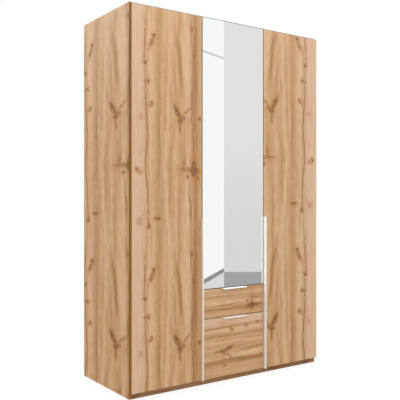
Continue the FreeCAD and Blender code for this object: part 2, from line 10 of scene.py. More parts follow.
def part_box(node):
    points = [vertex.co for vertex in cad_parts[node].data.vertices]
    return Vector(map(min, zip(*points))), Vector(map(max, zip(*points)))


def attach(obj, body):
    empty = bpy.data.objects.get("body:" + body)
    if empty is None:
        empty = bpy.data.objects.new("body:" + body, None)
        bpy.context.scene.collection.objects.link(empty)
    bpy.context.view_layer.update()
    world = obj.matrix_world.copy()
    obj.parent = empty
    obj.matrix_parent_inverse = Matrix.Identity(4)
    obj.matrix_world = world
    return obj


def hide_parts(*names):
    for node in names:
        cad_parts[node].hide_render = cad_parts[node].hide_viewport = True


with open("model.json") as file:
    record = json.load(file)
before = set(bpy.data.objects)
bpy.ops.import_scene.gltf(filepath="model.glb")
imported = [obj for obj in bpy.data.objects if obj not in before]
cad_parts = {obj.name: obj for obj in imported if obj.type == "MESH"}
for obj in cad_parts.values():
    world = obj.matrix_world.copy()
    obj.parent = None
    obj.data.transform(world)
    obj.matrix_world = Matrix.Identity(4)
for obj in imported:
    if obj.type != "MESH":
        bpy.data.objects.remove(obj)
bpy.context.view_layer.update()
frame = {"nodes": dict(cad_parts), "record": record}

bl_info = {
    "name": "Wardrobe with doors",
    "version": (1, 0, 0),
    "blender": (4, 5, 0),
    "location": "3D View > Sidebar > Wardrobe",
    "description": "Plank oak boards, mirror door, edge handles and fittings of a three-door wardrobe",
    "category": "Object",
}

left, right, front, back, down, up = (
    Vector((-1, 0, 0)), Vector((1, 0, 0)), Vector((0, -1, 0)),
    Vector((0, 1, 0)), Vector((0, 0, -1)), Vector((0, 0, 1)),
)

# Values that more than one piece uses, in metres where they are lengths.
weld_distance = 1e-6
head_segments = 24
oak_relief = 0.0002
linen_relief = 0.00015
linen_roughness = (0.48, 0.58)
matt = {"Specular_IOR_Level": 0.15}

# Knots of the printed plank, for one repeat of the decor. Places and half sizes are in metres across and
# along the grain. Lean is how far a mark moves across for each metre along. Depth is how dark its core is.
plank_marks = (
    # across, along, half width, half length, lean, depth
    (0.133, 1.914, 0.009, 0.012, 0.0, 1.0),
    (0.119, 1.880, 0.010, 0.026, 0.4, 0.65),
    (0.078, 1.767, 0.008, 0.009, 0.0, 0.9),
    (0.099, 1.674, 0.008, 0.009, 0.0, 0.9),
    (0.086, 1.672, 0.013, 0.004, 0.0, 0.6),
    (0.119, 1.558, 0.007, 0.009, 0.0, 1.0),
    (0.107, 1.545, 0.012, 0.006, 0.0, 0.8),
    (0.054, 1.484, 0.008, 0.010, 0.0, 0.4),
    (0.029, 1.206, 0.008, 0.008, 0.0, 1.0),
    (0.048, 1.192, 0.012, 0.010, 0.0, 0.45),
    (0.428, 1.496, 0.008, 0.012, 0.0, 0.8),
    (0.155, 0.946, 0.017, 0.008, 0.0, 0.9),
    (0.046, 0.935, 0.013, 0.016, 0.0, 0.35),
    (0.102, 0.907, 0.008, 0.013, 0.0, 0.9),
    (0.299, 1.484, 0.015, 0.022, 0.0, 1.0),
    (0.281, 1.524, 0.013, 0.036, -0.45, 0.9),
    (0.340, 1.528, 0.009, 0.024, 0.94, 0.5),
    (0.316, 1.488, 0.014, 0.010, 0.5, 0.7),
    (0.300, 1.440, 0.007, 0.028, 0.0, 0.6),
    (0.391, 1.214, 0.014, 0.044, 0.0, 1.0),
    (0.393, 1.206, 0.030, 0.017, 0.0, 0.9),
    (0.345, 1.212, 0.046, 0.011, 0.0, 0.6),
    (0.323, 1.243, 0.010, 0.012, 0.0, 0.5),
    (0.348, 1.172, 0.008, 0.010, 0.0, 0.8),
    (0.410, 1.180, 0.006, 0.034, -0.5, 0.7),
    (0.393, 1.838, 0.007, 0.012, 0.0, 0.9),
    (0.377, 1.990, 0.009, 0.012, 0.0, 0.8),
)

# Thin dark veins along the grain, most of them in the dark band at the plank's edge, with the same columns.
plank_veins = (
    (0.358, 1.042, 0.0050, 0.105, -0.04, 1.0),
    (0.366, 0.985, 0.0040, 0.080, -0.05, 0.8),
    (0.398, 1.060, 0.0050, 0.150, 0.02, 0.8),
    (0.384, 1.350, 0.0045, 0.120, 0.00, 0.8),
    (0.406, 1.420, 0.0050, 0.140, 0.02, 0.7),
    (0.380, 1.600, 0.0050, 0.130, 0.04, 0.9),
    (0.402, 1.680, 0.0045, 0.120, 0.00, 0.7),
    (0.388, 1.850, 0.0050, 0.110, 0.08, 0.9),
    (0.404, 1.955, 0.0050, 0.120, -0.03, 0.8),
    (0.372, 1.940, 0.0040, 0.080, 0.02, 0.7),
    (0.286, 1.880, 0.0035, 0.080, -0.06, 0.5),
    (0.302, 1.735, 0.0040, 0.070, -0.12, 0.6),
    (0.270, 1.640, 0.0035, 0.080, -0.05, 0.4),
    (0.165, 1.760, 0.0035, 0.140, 0.00, 0.4),
    (0.225, 1.230, 0.0035, 0.120, 0.02, 0.35),
    (0.185, 1.040, 0.0035, 0.100, 0.03, 0.35),
)

# Soft brown flames of the plank, with the same columns.
plank_flames = (
    (0.291, 1.800, 0.009, 0.110, -0.14, 0.55),
    (0.330, 1.330, 0.010, 0.120, 0.06, 0.35),
    (0.205, 1.640, 0.008, 0.150, 0.03, 0.30),
    (0.240, 1.090, 0.012, 0.140, -0.05, 0.30),
    (0.268, 1.665, 0.008, 0.090, -0.10, 0.40),
    (0.390, 1.640, 0.010, 0.170, 0.02, 0.35),
    (0.160, 1.380, 0.007, 0.130, 0.02, 0.30),
)

# Where the long crack starts along the grain, in metres, and how it runs from there: share of one repeat, and
# the way across in metres.
crack_start = 0.850
crack_route = (
    (0.00, 0.104), (0.05, 0.102), (0.17, 0.097), (0.30, 0.081), (0.44, 0.092),
    (0.63, 0.081), (0.74, 0.073), (0.93, 0.081), (1.00, 0.090),
)

# The noises that draw the plank: width and length of their stripes in metres, detail and seed.
grain = {
    "wave": (0.090, 0.180, 1.0, 7.0),
    "ripple": (0.020, 0.060, 1.0, 11.0),
    "knot frayed across": (0.006, 0.011, 2.0, 3.0),
    "knot frayed along": (0.006, 0.011, 2.0, 10.0),
    "knot rim": (0.004, 0.008, 1.0, 12.0),
    "knot spots": (0.0085, 0.0120, 2.0, 17.0),
    "vein bend": (0.010, 0.030, 2.0, 18.0),
    "vein rim": (0.004, 0.030, 2.0, 19.0),
    "flame rim": (0.010, 0.070, 2.0, 5.0),
    "broad bands": (0.050, 0.600, 2.0, 1.0),
    "bands": (0.014, 0.450, 2.0, 13.0),
    "clouds": (0.030, 0.045, 2.0, 14.0),
    "streaks": (0.0046, 0.340, 3.0, 2.0),
    "fine": (0.0017, 0.110, 2.0, 4.0),
    "lines": (0.0060, 0.300, 3.0, 16.0),
    "pores": (0.0011, 0.022, 1.0, 6.0),
    "hue": (0.026, 0.360, 2.0, 15.0),
    "crack jitter": (1.0, 0.020, 2.0, 8.0),
    "crack breaks": (1.0, 0.050, 3.0, 9.0),
}

# How light the plank is from one edge to the other: way across in metres, and lightness.
plank_tone = (
    (0.000, 0.90), (0.045, 0.82), (0.075, 0.56), (0.090, 0.48), (0.108, 0.76), (0.127, 0.66), (0.145, 0.46),
    (0.165, 0.33), (0.183, 0.52), (0.200, 0.64), (0.220, 0.72), (0.240, 0.66), (0.278, 0.62), (0.297, 0.42),
    (0.317, 0.70), (0.337, 0.82), (0.357, 0.74), (0.376, 0.38), (0.396, 0.20), (0.417, 0.30), (0.437, 0.54),
)


class WardrobeSizes(bpy.types.PropertyGroup):
    """Sizes of the decor, the handles and the fittings."""

    decor_repeat: FloatProperty(
        name="Decor repeat", description="Length after which the printed plank repeats",
        default=1.245, unit="LENGTH")
    decor_width: FloatProperty(
        name="Decor width", description="Width of one printed plank",
        default=0.445, unit="LENGTH")
    face_reach: FloatProperty(
        name="Face reach", description="How far a face's print reaches round a board's eased edge",
        default=0.0006, unit="LENGTH")
    handle_edge_radius: FloatProperty(
        name="Handle edge radius", description="Radius of the edges of a handle",
        default=0.0007, unit="LENGTH")
    screw_head_radius: FloatProperty(
        name="Screw head radius", description="Radius of the hinge screws' heads",
        default=0.0036, unit="LENGTH")
    screw_head_height: FloatProperty(
        name="Screw head height", description="Height of the dome on a hinge screw",
        default=0.0007, unit="LENGTH")
    roller_edge: FloatProperty(
        name="Roller edge", description="Rounding at the rim of a drawer roller",
        default=0.0009, unit="LENGTH")


class WardrobeColours(bpy.types.PropertyGroup):
    """Colours of the boards and fittings."""

    oak_light: FloatVectorProperty(
        name="Oak light", description="Lightest early wood", default=(0.620, 0.415, 0.247), subtype="COLOR")
    oak_middle: FloatVectorProperty(
        name="Oak middle", description="Main colour of the plank", default=(0.490, 0.272, 0.114),
        subtype="COLOR")
    oak_deep: FloatVectorProperty(
        name="Oak deep", description="Darkest stripes", default=(0.335, 0.155, 0.048), subtype="COLOR")
    oak_vein: FloatVectorProperty(
        name="Oak vein", description="Thin dark veins", default=(0.250, 0.088, 0.012), subtype="COLOR")
    knot_halo: FloatVectorProperty(
        name="Knot halo", description="Reddish wood round a knot", default=(0.440, 0.185, 0.046),
        subtype="COLOR")
    knot_core: FloatVectorProperty(
        name="Knot core", description="Dark middle of a knot", default=(0.135, 0.038, 0.001),
        subtype="COLOR")
    oak_rosy: FloatVectorProperty(
        name="Oak rosy", description="Tint of the rosy stripes", default=(1.01, 0.99, 1.04), subtype="COLOR",
        soft_max=2.0)
    oak_golden: FloatVectorProperty(
        name="Oak golden", description="Tint of the golden stripes", default=(1.00, 1.00, 0.94),
        subtype="COLOR", soft_max=2.0)
    oak_pale: FloatVectorProperty(
        name="Oak pale", description="Greyish strip beside the crack", default=(0.600, 0.430, 0.300),
        subtype="COLOR")
    # The edge band's colour also holds painted shade: it is as dark as the shaded gap beside the doors, on
    # every edge of the oak boards.
    shaded_edge_band: FloatVectorProperty(
        name="Oak edge", description="Edge band of the oak boards", default=(0.212, 0.094, 0.012),
        subtype="COLOR")
    top_edge: FloatVectorProperty(
        name="Top edge", description="Edge band of the top panel", default=(0.33, 0.30, 0.27),
        subtype="COLOR")
    # The plinth's tint warms its oak and darkens it; the darkening is painted shade for the shadow under the
    # doors' overhang.
    plinth: FloatVectorProperty(
        name="Plinth", description="Tint of the plinth's oak", default=(0.50, 0.385, 0.24), subtype="COLOR")
    linen_light: FloatVectorProperty(
        name="Linen light", description="Light threads of the inner print", default=(0.56, 0.52, 0.46),
        subtype="COLOR")
    linen_dark: FloatVectorProperty(
        name="Linen dark", description="Dark threads of the inner print", default=(0.44, 0.40, 0.345),
        subtype="COLOR")
    hardboard_light: FloatVectorProperty(
        name="Hardboard light", description="Light fibres", default=(0.40, 0.27, 0.16), subtype="COLOR")
    hardboard_dark: FloatVectorProperty(
        name="Hardboard dark", description="Dark fibres", default=(0.26, 0.165, 0.09), subtype="COLOR")
    white_foil: FloatVectorProperty(
        name="White foil", description="Foil on the drawer boards", default=(0.80, 0.79, 0.77),
        subtype="COLOR")
    aluminium: FloatVectorProperty(
        name="Aluminium", description="Satin handles", default=(0.92, 0.88, 0.83), subtype="COLOR")
    steel: FloatVectorProperty(
        name="Steel", description="Nickel plated hinges", default=(0.60, 0.60, 0.61), subtype="COLOR")
    mirror: FloatVectorProperty(
        name="Mirror", description="Silvered glass", default=(0.93, 0.95, 0.95), subtype="COLOR")


def sizes():
    """The sizes that the scene holds now."""
    return bpy.context.scene.wardrobe_sizes


def colours():
    """The colours that the scene holds now."""
    return bpy.context.scene.wardrobe_colours


def shaded(colour, factor):
    """A colour made lighter or darker by a factor."""
    return [value * factor for value in colour]


def grey(value, warmth=0.0):
    """A grey of a brightness, with a share more red and as much less blue."""
    return (value * (1 + warmth), value, value * (1 - warmth))


class Wiring:
    """Adds nodes to one node tree and joins them."""

    def __init__(self, tree):
        self.tree = tree

    def feed(self, socket, value):
        """Join a socket to another node's output, or set its own value."""
        if isinstance(value, bpy.types.NodeSocket):
            self.tree.links.new(value, socket)
        elif socket.type == "RGBA":
            socket.default_value = (value[0], value[1], value[2], 1.0)
        else:
            socket.default_value = value

    def add(self, kind, values=None, **settings):
        """A new node, with its sockets fed and its settings set."""
        node = self.tree.nodes.new("ShaderNode" + kind)
        for name, value in settings.items():
            setattr(node, name, value)
        for key, value in (values or {}).items():
            self.feed(node.inputs[key], value)
        return node

    def math(self, operation, *values, clamp=False):
        """The result of one Math node."""
        return self.add("Math", dict(enumerate(values)), operation=operation, use_clamp=clamp).outputs[0]

    def dot(self, place, direction):
        """How far a place is along a direction."""
        return self.add("VectorMath", {0: place, 1: direction}, operation="DOT_PRODUCT").outputs["Value"]

    def smooth(self, value, start, end):
        """0 at start and 1 at end, eased at both."""
        return self.add("MapRange", {"Value": value, "From Min": start, "From Max": end},
                        interpolation_type="SMOOTHSTEP").outputs[0]

    def spread(self, value, low, high):
        """A value from 0 to 1 spread between low and high."""
        return self.add("MapRange", {"Value": value, "To Min": low, "To Max": high}).outputs[0]

    def shift(self, value, control, amount):
        """A value moved by up to half an amount to each side, as a control from 0 to 1 says."""
        return self.math("ADD", value, self.math("MULTIPLY", self.math("SUBTRACT", control, 0.5), amount))

    def mix(self, share, first, second, blend="MIX"):
        """Two colours mixed by a share of the second."""
        return self.add("Mix", {0: share, 6: first, 7: second}, data_type="RGBA", blend_type=blend).outputs[2]

    def curve(self, value, points, span):
        """A smooth value through given points (place, value), with places counted over a span."""
        node = self.add("ValToRGB", {0: self.math("DIVIDE", value, span)})
        node.color_ramp.interpolation = "EASE"
        elements = node.color_ramp.elements
        while len(elements) < len(points):
            elements.new(0.5)
        for element, (place, level) in zip(elements, points):
            element.position = place / span
            element.color = (level, level, level, 1.0)
        return node.outputs[0]

    def group(self, tree, values):
        """The outputs of a node group that is placed with its own values."""
        node = self.tree.nodes.new("ShaderNodeGroup")
        node.node_tree = tree
        for key, value in values.items():
            self.feed(node.inputs[key], value)
        return node.outputs

    def place(self):
        """The place on the piece, in its own coordinates."""
        return self.add("TexCoord").outputs["Object"]


def new_group(name, inputs, outputs):
    """A shader node group with named sockets: its tree, its wiring, its inputs and its outputs."""
    tree = bpy.data.node_groups.new(name, "ShaderNodeTree")
    for label, kind in inputs:
        tree.interface.new_socket(label, in_out="INPUT", socket_type="NodeSocket" + kind)
    for label, kind in outputs:
        tree.interface.new_socket(label, in_out="OUTPUT", socket_type="NodeSocket" + kind)
    given = tree.nodes.new("NodeGroupInput").outputs
    result = tree.nodes.new("NodeGroupOutput").inputs
    return tree, Wiring(tree), given, result


def built_once(make):
    """Keep the node group that a function makes, so that every material shares it."""
    kept = []

    def shared():
        if not kept:
            kept.append(make())
        return kept[0]
    return shared


@built_once
def stripes_group():
    """Long soft stripes. Noise is read round a ring as long as the decor, so that it repeats with it."""
    tree, wire, given, result = new_group(
        "Grain stripes",
        (("Across", "Float"), ("Along", "Float"), ("Width", "Float"), ("Length", "Float"),
         ("Detail", "Float"), ("Seed", "Float")),
        (("Stripes", "Float"),))
    ring_radius = sizes().decor_repeat / (2 * math.pi)
    turn = wire.math("MULTIPLY", given["Along"], 1 / ring_radius)
    ring = wire.math("DIVIDE", ring_radius, given["Length"])
    vector = wire.add("CombineXYZ", {
        0: wire.math("DIVIDE", given["Across"], given["Width"]),
        1: wire.math("MULTIPLY", ring, wire.math("COSINE", turn)),
        2: wire.math("MULTIPLY", ring, wire.math("SINE", turn)),
    }).outputs[0]
    noise = wire.add("TexNoise", {"Vector": vector, "W": given["Seed"], "Scale": 1.0,
                                  "Detail": given["Detail"], "Roughness": 0.6}, noise_dimensions="4D")
    wire.feed(result["Stripes"], noise.outputs["Fac"])
    return tree


@built_once
def mark_group():
    """One knot, vein or flame of the plank, added to those before it."""
    tree, wire, given, result = new_group(
        "Plank mark",
        (("Across", "Float"), ("Along", "Float"), ("Centre Across", "Float"), ("Centre Along", "Float"),
         ("Half Width", "Float"), ("Half Length", "Float"), ("Lean", "Float"), ("Depth", "Float"),
         ("Wobble", "Float"), ("Core Before", "Float"), ("Halo Before", "Float"), ("Bend Before", "Float")),
        (("Core", "Float"), ("Halo", "Float"), ("Bend", "Float")))
    core_rim = (1.3, 0.8)
    halo_rim = (2.7, 0.9)
    grain_bend = -0.55
    half = sizes().decor_repeat / 2
    away = wire.math("WRAP", wire.math("SUBTRACT", given["Along"], given["Centre Along"]), half, -half)
    aside = wire.math("SUBTRACT", wire.math("SUBTRACT", given["Across"], given["Centre Across"]),
                      wire.math("MULTIPLY", given["Lean"], away))
    vector = wire.add("CombineXYZ", {0: wire.math("DIVIDE", aside, given["Half Width"]),
                                     1: wire.math("DIVIDE", away, given["Half Length"])}).outputs[0]
    distance = wire.math("MULTIPLY", wire.add("VectorMath", {0: vector}, operation="LENGTH").outputs["Value"],
                         given["Wobble"])
    core = wire.math("MULTIPLY", wire.smooth(distance, *core_rim), given["Depth"])
    halo = wire.math("MULTIPLY", wire.smooth(distance, *halo_rim), given["Depth"])
    bend = wire.math("MULTIPLY", wire.math("MULTIPLY", aside, grain_bend), halo)
    wire.feed(result["Core"], wire.math("MAXIMUM", core, given["Core Before"]))
    wire.feed(result["Halo"], wire.math("MAXIMUM", halo, given["Halo Before"]))
    wire.feed(result["Bend"], wire.math("ADD", bend, given["Bend Before"]))
    return tree


def add_marks(wire, marks, across, along, wobble):
    """Place every mark of a list. Returns the core, the halo and the bend of the grain of all together."""
    joined = {"Core": 0.0, "Halo": 0.0, "Bend": 0.0}
    for centre_across, centre_along, half_width, half_length, lean, depth in marks:
        joined = wire.group(mark_group(), {
            "Across": across, "Along": along, "Centre Across": centre_across, "Centre Along": centre_along,
            "Half Width": half_width, "Half Length": half_length, "Lean": lean, "Depth": depth,
            "Wobble": wobble, "Core Before": joined["Core"], "Halo Before": joined["Halo"],
            "Bend Before": joined["Bend"],
        })
    return joined


@built_once
def oak_group():
    """The printed plank: stripes, veins, flames, pores, knots, a pale strip and one long crack."""
    tree, wire, given, result = new_group(
        "Plank oak",
        (("Across", "Float"), ("Along", "Float"), ("Light", "Color"), ("Middle", "Color"), ("Deep", "Color"),
         ("Rosy", "Color"), ("Golden", "Color"), ("Pale", "Color"), ("Halo", "Color"), ("Vein", "Color"),
         ("Core", "Color")),
        (("Colour", "Color"), ("Height", "Float"), ("Roughness", "Float")))
    across, along = given["Across"], given["Along"]

    def stripes(way, name):
        """One of the plank's noises, read across a way."""
        width, length, detail, seed = grain[name]
        return wire.group(stripes_group(), {"Across": way, "Along": along, "Width": width, "Length": length,
                                            "Detail": detail, "Seed": seed})["Stripes"]

    def share(value, amount):
        """A value times an amount or another value."""
        return wire.math("MULTIPLY", value, amount)

    # Ways across and along the grain, made wavy or ragged.
    wavy = wire.shift(across, stripes(across, "wave"), 0.028)
    wavy = wire.shift(wavy, stripes(across, "ripple"), 0.007)
    ragged = wire.shift(across, stripes(across, "knot frayed across"), 0.026)
    uneven = wire.shift(along, stripes(across, "knot frayed along"), 0.036)
    vein_way = wire.shift(wavy, stripes(across, "vein bend"), 0.010)

    # Knots, veins and flames. The grain bends round the knots.
    knots = add_marks(wire, plank_marks, ragged, uneven, wire.spread(stripes(across, "knot rim"), 0.15, 1.85))
    veins = add_marks(wire, plank_veins, vein_way, along, wire.spread(stripes(across, "vein rim"), 0.5, 1.5))
    flames = add_marks(wire, plank_flames, wavy, along, wire.spread(stripes(across, "flame rim"), 0.3, 1.7))
    bent = wire.math("ADD", wavy, knots["Bend"])
    streaks = stripes(bent, "streaks")
    fine = stripes(bent, "fine")
    lines = wire.smooth(stripes(bent, "lines"), 0.55, 0.68)
    pores = wire.smooth(stripes(bent, "pores"), 0.64, 0.72)

    # Lightness of the wood, and its colour.
    tone = wire.curve(wavy, plank_tone, sizes().decor_width)
    layers = (
        (stripes(bent, "broad bands"), 0.50), (stripes(bent, "bands"), 0.25), (stripes(bent, "clouds"), 0.45),
        (streaks, 0.78), (fine, 0.90),
    )
    for value, weight in layers:
        tone = wire.shift(tone, value, weight)
    for value, weight in ((flames["Halo"], 0.70), (lines, 0.35)):
        tone = wire.math("SUBTRACT", tone, share(value, weight))
    wood = wire.mix(wire.smooth(tone, -0.1, 0.5), given["Deep"], given["Middle"])
    wood = wire.mix(wire.smooth(tone, 0.35, 1.05), wood, given["Light"])
    pale = wire.smooth(wavy, 0.085, 0.060)
    hue = wire.math("SUBTRACT", wire.smooth(stripes(bent, "hue"), 0.36, 0.64), pale, clamp=True)
    wood = wire.mix(1.0, wood, wire.mix(hue, given["Rosy"], given["Golden"]), blend="MULTIPLY")
    wood = wire.mix(share(pale, 0.28), wood, given["Pale"])

    # The long crack, broken in places, with its stain.
    route = wire.math("FRACT", wire.math("DIVIDE", wire.math("SUBTRACT", along, crack_start),
                                         sizes().decor_repeat))
    jittery = wire.shift(across, stripes(0.0, "crack jitter"), 0.008)
    off = wire.math("ABSOLUTE", wire.math("SUBTRACT", jittery, wire.curve(route, crack_route, 1.0)))
    broken = wire.smooth(stripes(0.0, "crack breaks"), 0.34, 0.52)
    ended = share(wire.smooth(route, 0.03, 0.06), wire.smooth(route, 0.95, 0.90))
    crack = share(share(wire.smooth(off, 0.0036, 0.0008), broken), ended)
    stain = share(wire.smooth(off, 0.014, 0.002), share(ended, 0.38))

    # Everything laid over the wood.
    halo = wire.math("MULTIPLY", wire.math("MAXIMUM", knots["Halo"], stain), 0.75, clamp=True)
    colour = wire.mix(halo, wood, given["Halo"])
    vein = share(veins["Core"], wire.spread(wire.smooth(streaks, 0.35, 0.62), 0.25, 0.90))
    colour = wire.mix(vein, colour, given["Vein"])
    spots = wire.smooth(stripes(across, "knot spots"), 0.42, 0.54)
    spotted = share(knots["Core"], wire.spread(spots, 0.48, 1.0))
    dark = wire.math("MAXIMUM", share(crack, 0.95), spotted)
    colour = wire.mix(share(dark, 0.92), colour, given["Core"])
    colour = wire.mix(share(pores, 0.22), colour, given["Core"])
    sunk = wire.math("MAXIMUM", share(pores, 0.6), dark)
    wire.feed(result["Colour"], colour)
    wire.feed(result["Height"], wire.math("SUBTRACT", share(fine, 0.35), sunk))
    wire.feed(result["Roughness"], wire.math("ADD", share(fine, 0.14), share(dark, 0.12)))
    return tree


@built_once
def speckle_group():
    """Fine stretched marks between two colours: threads, fibres, brush lines or moulded grain."""
    tree, wire, given, result = new_group(
        "Stretched speckle",
        (("Place", "Vector"), ("Stretch", "Vector"), ("Detail", "Float"), ("Sharpness", "Float"),
         ("First", "Color"), ("Second", "Color")),
        (("Colour", "Color"), ("Speckle", "Float")))
    vector = wire.add("VectorMath", {0: given["Place"], 1: given["Stretch"]}, operation="MULTIPLY").outputs[0]
    noise = wire.add("TexNoise", {"Vector": vector, "Scale": 1.0, "Detail": given["Detail"],
                                  "Roughness": 0.55}).outputs["Fac"]
    edge = wire.math("SUBTRACT", 0.5, given["Sharpness"])
    speckle = wire.smooth(noise, edge, wire.math("SUBTRACT", 1.0, edge))
    wire.feed(result["Colour"], wire.mix(speckle, given["First"], given["Second"]))
    wire.feed(result["Speckle"], speckle)
    return tree


@built_once
def linen_group():
    """A linen print: threads along each axis, so that it shows on a board of any direction."""
    tree, wire, given, result = new_group(
        "Linen print", (("Place", "Vector"), ("Light", "Color"), ("Dark", "Color")),
        (("Colour", "Color"), ("Height", "Float")))
    total = 0.0
    directions = ((900, 60, 900), (60, 900, 900), (900, 900, 60))
    for stretch in directions:
        threads = wire.group(speckle_group(), {"Place": given["Place"], "Stretch": stretch, "Detail": 2.0,
                                               "Sharpness": 0.22})["Speckle"]
        total = wire.math("ADD", total, threads)
    weave = wire.math("DIVIDE", total, len(directions))
    wire.feed(result["Colour"], wire.mix(weave, given["Dark"], given["Light"]))
    wire.feed(result["Height"], weave)
    return tree


def new_material(name):
    """An empty node material, and the wiring of its tree."""
    material = bpy.data.materials.new(name)
    material.use_nodes = True
    material.node_tree.nodes.clear()
    return material, Wiring(material.node_tree)


def finish_material(wire, colour, roughness, height=None, relief=0.0, **constants):
    """The material's own shader, with a bump where it has relief. Relief is in metres."""
    bump_strength = 0.5
    values = {"Base Color": colour, "Roughness": roughness}
    values.update({name.replace("_", " "): value for name, value in constants.items()})
    if height is not None:
        bump = wire.add("Bump", {"Height": height, "Strength": bump_strength, "Distance": relief})
        values["Normal"] = bump.outputs[0]
    shader = wire.add("BsdfPrincipled", values)
    wire.add("OutputMaterial", {"Surface": shader.outputs[0]})


def dress(node, material):
    """Give a node of the frame its material."""
    part = frame["nodes"][node]
    if not part.material_slots:
        part.data.materials.append(material)
    for slot in part.material_slots:
        slot.material = material


def dress_slot(slot, material):
    """Give a material to every node that has a material slot of the record."""
    for entry in frame["record"]["subparts"]:
        if entry["material_slot"] == slot:
            dress(entry["node"], material)


def reach(node, direction):
    """How far out a node of the frame reaches along a direction."""
    low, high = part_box(node)
    return max(direction.dot(corner) for corner in (low, high))


def face_mask(wire, place, node, direction):
    """1 on the face of a board that looks along a direction, and 0 on its edges and its other face."""
    plane = reach(node, direction)
    margin = sizes().face_reach
    return wire.smooth(wire.dot(place, direction), plane - margin, plane - margin / 2)


def oak_colour(wire, place, across, along):
    """The plank oak at a place. across and along are each a direction and a start."""
    ways = [wire.math("ADD", wire.dot(place, direction), start) for direction, start in (across, along)]
    shade = colours()
    return wire.group(oak_group(), {
        "Across": ways[0], "Along": ways[1], "Light": shade.oak_light, "Middle": shade.oak_middle,
        "Deep": shade.oak_deep, "Rosy": shade.oak_rosy, "Golden": shade.oak_golden, "Pale": shade.oak_pale,
        "Halo": shade.knot_halo, "Vein": shade.oak_vein, "Core": shade.knot_core,
    })


def linen_colour(wire, place):
    """The linen print at a place."""
    return wire.group(linen_group(), {"Place": place, "Light": colours().linen_light,
                                      "Dark": colours().linen_dark})


def oak_board(node, shown, across, along):
    """A board with plank oak on the face that shows, linen print on the other and a dark edge band, darkened
    further with painted shade.
    """
    oak_roughness = 0.46
    inner_roughness = 0.70
    inner_relief = 0.3
    material, wire = new_material(node + " oak")
    place = wire.place()
    oak = oak_colour(wire, place, across, along)
    linen = linen_colour(wire, place)
    # The edges get the edge band colour, which is darkened with painted shade.
    band = wire.group(speckle_group(), {
        "Place": place, "Stretch": (300, 300, 25), "Detail": 3.0, "Sharpness": 0.25,
        "First": colours().shaded_edge_band, "Second": shaded(colours().shaded_edge_band, 1.3)})
    outer = face_mask(wire, place, node, shown)
    inner = face_mask(wire, place, node, -shown)
    colour = wire.mix(outer, wire.mix(inner, band["Colour"], linen["Colour"]), oak["Colour"])
    outer_roughness = wire.math("ADD", oak_roughness, oak["Roughness"])
    roughness = wire.math("ADD", wire.math("MULTIPLY", outer_roughness, outer),
                          wire.math("MULTIPLY", inner_roughness, wire.math("SUBTRACT", 1.0, outer)))
    height = wire.math("ADD", wire.math("MULTIPLY", oak["Height"], outer),
                       wire.math("MULTIPLY", linen["Height"], wire.math("MULTIPLY", inner, inner_relief)))
    finish_material(wire, colour, roughness, height, oak_relief)
    dress(node, material)


class WARDROBE_OT_oak_fronts(bpy.types.Operator):
    """Print the plank oak on the doors and drawer fronts"""
    bl_idname = "wardrobe.oak_fronts"
    bl_label = "Oak fronts"

    # How a print is cut from the plank: its ways across and along the grain, each a direction and a start.
    # A direction longer than 1 makes the print finer.
    right_door_scale = (0.785, 0.945)
    right_door_lift = -0.020
    lower_drawer_print = ((down * 1.55, 0.576), (right / 0.89, 1.570))
    upper_drawer_print = ((down * 1.50, 1.029), (right / 0.89, 1.058))

    def execute(self, context):
        from_edge = reach("left_door_panel", left)
        across, along = self.right_door_scale
        oak_board("left_door_panel", front, (right, from_edge), (up, 0.0))
        oak_board("right_door_panel", front, (left * across, from_edge * across),
                  (up * along, self.right_door_lift))
        oak_board("mirror_door_board", front, (right, from_edge), (up, 0.0))
        oak_board("lower_drawer_front", front, *self.lower_drawer_print)
        oak_board("upper_drawer_front", front, *self.upper_drawer_print)
        return {"FINISHED"}


class WARDROBE_OT_oak_sides(bpy.types.Operator):
    """Print the plank oak on both side panels and on the plinth, with painted shade on the plinth"""
    bl_idname = "wardrobe.oak_sides"
    bl_label = "Oak sides and plinth"

    side_print = ((front * 0.569, 0.238), (up, -0.020))
    plinth_print = ((up * 1.5, 0.30), (right, 0.9))
    plinth_roughness = 0.5

    def execute(self, context):
        oak_board("left_side_panel", left, *self.side_print)
        oak_board("right_side_panel", right, *self.side_print)
        material, wire = new_material("plinth oak with painted shade")
        oak = oak_colour(wire, wire.place(), *self.plinth_print)
        # The tint darkens the plinth's oak: painted shade for the shadow under the doors.
        colour = wire.mix(1.0, oak["Colour"], colours().plinth, blend="MULTIPLY")
        roughness = wire.math("ADD", self.plinth_roughness, oak["Roughness"])
        finish_material(wire, colour, roughness, oak["Height"], oak_relief)
        dress("front_plinth", material)
        return {"FINISHED"}


class WARDROBE_OT_inner_boards(bpy.types.Operator):
    """Print the linen on the partitions, shelves, top and bottom"""
    bl_idname = "wardrobe.inner_boards"
    bl_label = "Inner boards"

    def execute(self, context):
        material, wire = new_material("inner linen")
        self.finish(wire, linen_colour(wire, wire.place()))
        dress_slot("inner_board", material)
        self.top_panel()
        return {"FINISHED"}

    def top_panel(self):
        """The top panel shows its greyish front edge above the doors."""
        material, wire = new_material("top panel linen")
        place = wire.place()
        edge = face_mask(wire, place, "top_panel", front)
        self.finish(wire, linen_colour(wire, place), edge)
        dress("top_panel", material)

    def finish(self, wire, linen, edge=None):
        """The linen print, with the edge band's grey where there is a mask for it."""
        colour = linen["Colour"]
        if edge is not None:
            colour = wire.mix(edge, colour, colours().top_edge)
        finish_material(wire, colour, wire.spread(linen["Height"], *linen_roughness), linen["Height"],
                        linen_relief, **matt)


def speckled_finish(slot, first, second, stretch, sharpness, roughness, relief, **constants):
    """One speckled finish for every node that has a slot. Stretch is in speckles for each metre."""
    material, wire = new_material(slot + " finish")
    grains = wire.group(speckle_group(), {"Place": wire.place(), "Stretch": stretch, "Detail": 3.0,
                                          "Sharpness": sharpness, "First": first, "Second": second})
    finish_material(wire, grains["Colour"], wire.spread(grains["Speckle"], *roughness), grains["Speckle"],
                    relief, **constants)
    dress_slot(slot, material)
    return material


